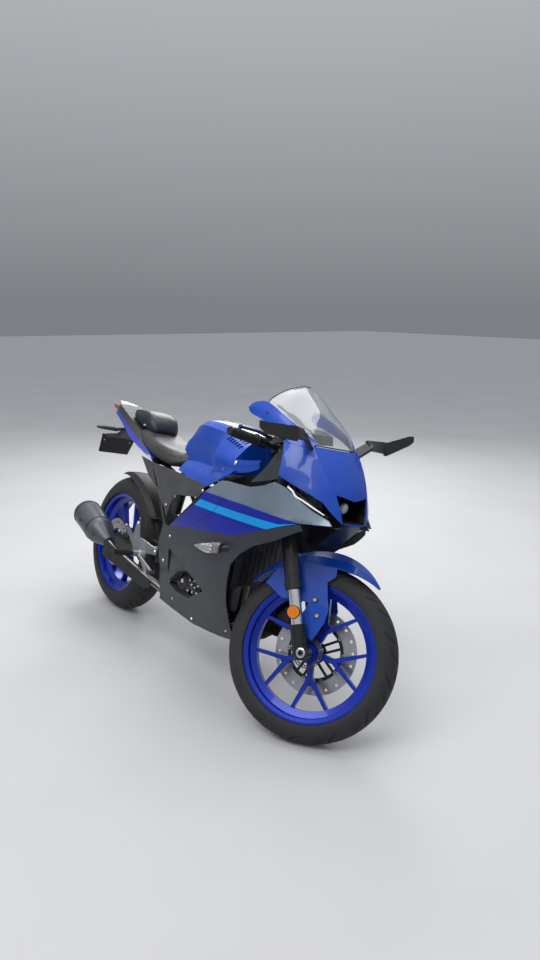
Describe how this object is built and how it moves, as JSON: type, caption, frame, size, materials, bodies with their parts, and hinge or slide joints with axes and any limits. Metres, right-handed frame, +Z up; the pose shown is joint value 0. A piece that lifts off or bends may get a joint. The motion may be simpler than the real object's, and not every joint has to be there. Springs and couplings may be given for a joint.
{
  "type": "sport bike",
  "caption": "Faired sport bike with clip-on bars, leaning on its side stand with the bars turned to the left stop; wheels, steering, stand and fuel cap move.",
  "frame": {"origin": "on the ground under the middle of the parked bike's bounding box", "axes": "+X forward, +Y to the rider's left, +Z up from level ground; the bike leans left"},
  "size_m": [1.9327, 0.796, 1.1407],
  "materials": {
    "blue_gloss": "gloss",
    "deep_blue": "gloss",
    "silver_gloss": "gloss metallic",
    "grey_plastic": "satin",
    "black_plastic": "satin",
    "black_gloss": "gloss",
    "rim_blue": "metallic",
    "tank_blue": "gloss",
    "black_metal": "satin",
    "frame_paint": "satin",
    "fork_grey": "gloss",
    "chromed": "polished",
    "disc_steel": "brushed",
    "chain_steel": "oiled",
    "cast_alloy": "satin",
    "dark_alloy": "satin",
    "silencer_grey": "satin",
    "tyre_rubber": "matte",
    "grip_rubber": "matte",
    "seat_vinyl": "satin",
    "pad_vinyl": "satin",
    "clear_screen": "clear",
    "lamp_glass": "clear",
    "amber": "gloss",
    "red_lens": "gloss"
  },
  "bodies": {
    "chassis": {"frame": "frame_paint", "subframe": "frame_paint", "engine": "dark_alloy", "radiator": "dark_alloy", "upper_side_panels": "silver_gloss", "blue_side_panels": "deep_blue", "lower_fairings": "grey_plastic", "belly_pan": "grey_plastic", "nose_cowl": "blue_gloss", "windscreen": "clear_screen", "lamp_duct": "black_gloss", "head_lamp": "lamp_glass", "position_lamps": "lamp_glass", "inner_panels": "grey_plastic", "instrument": "black_plastic", "mirrors": "black_gloss", "fuel_tank": "tank_blue", "cap_ring": "chromed", "rider_seat": "seat_vinyl", "pillion_pad": "pad_vinyl", "tail_cowl": "silver_gloss", "tail_lamp": "red_lens", "side_covers": "black_plastic", "swingarm": "black_metal", "rear_shock": "black_metal", "rear_hugger": "black_plastic", "exhaust_pipe": "disc_steel", "silencer": "silencer_grey", "rearsets": "cast_alloy", "foot_pegs": "black_metal", "chain": "chain_steel", "rear_caliper": "black_metal", "plate_holder": "black_plastic", "indicators": "lamp_glass"},
    "steering": {"triple_clamps": "black_metal", "fork_tubes": "fork_grey", "fork_stanchions": "chromed", "axle_lugs": "black_metal", "clip_ons": "black_metal", "grips": "grip_rubber", "levers": "black_metal", "front_fender": "blue_gloss", "front_caliper": "black_metal", "reflectors": "amber"},
    "front_wheel": {"front_tyre": "tyre_rubber", "front_rim": "rim_blue", "front_disc": "disc_steel"},
    "rear_wheel": {"rear_tyre": "tyre_rubber", "rear_rim": "rim_blue", "rear_disc": "disc_steel", "rear_sprocket": "disc_steel"},
    "side_stand": {"side_stand": "black_metal"},
    "fuel_cap": {"fuel_cap": "cast_alloy"}
  },
  "joints": [
    {"name": "steering", "type": "hinge", "parent": "chassis", "child": "steering", "pos_m": [0.41953, -0.00491, 0.763], "axis": [-0.4338, 0.2052, 0.8773], "range_deg": [-64.16, 0]},
    {"name": "front_wheel_spin", "type": "hinge", "parent": "steering", "child": "front_wheel", "pos_m": [0.70061, -0.09522, 0.27341], "axis": [-0.4795, 0.7718, -0.4177], "continuous": true},
    {"name": "rear_wheel_spin", "type": "hinge", "parent": "chassis", "child": "rear_wheel", "pos_m": [-0.61817, -0.11336, 0.30604], "axis": [-0.0012, 0.9736, -0.2283], "continuous": true},
    {"name": "side_stand_fold", "type": "hinge", "parent": "chassis", "child": "side_stand", "pos_m": [-0.11259, 0.0033, 0.22274], "axis": [0.0034, 0.7625, 0.647], "range_deg": [0, 98]},
    {"name": "fuel_cap_lid", "type": "hinge", "parent": "chassis", "child": "fuel_cap", "pos_m": [0.07923, 0.04019, 0.95705], "axis": [-0.0012, 0.9736, -0.2283], "range_deg": [0, 95]}
  ]
}
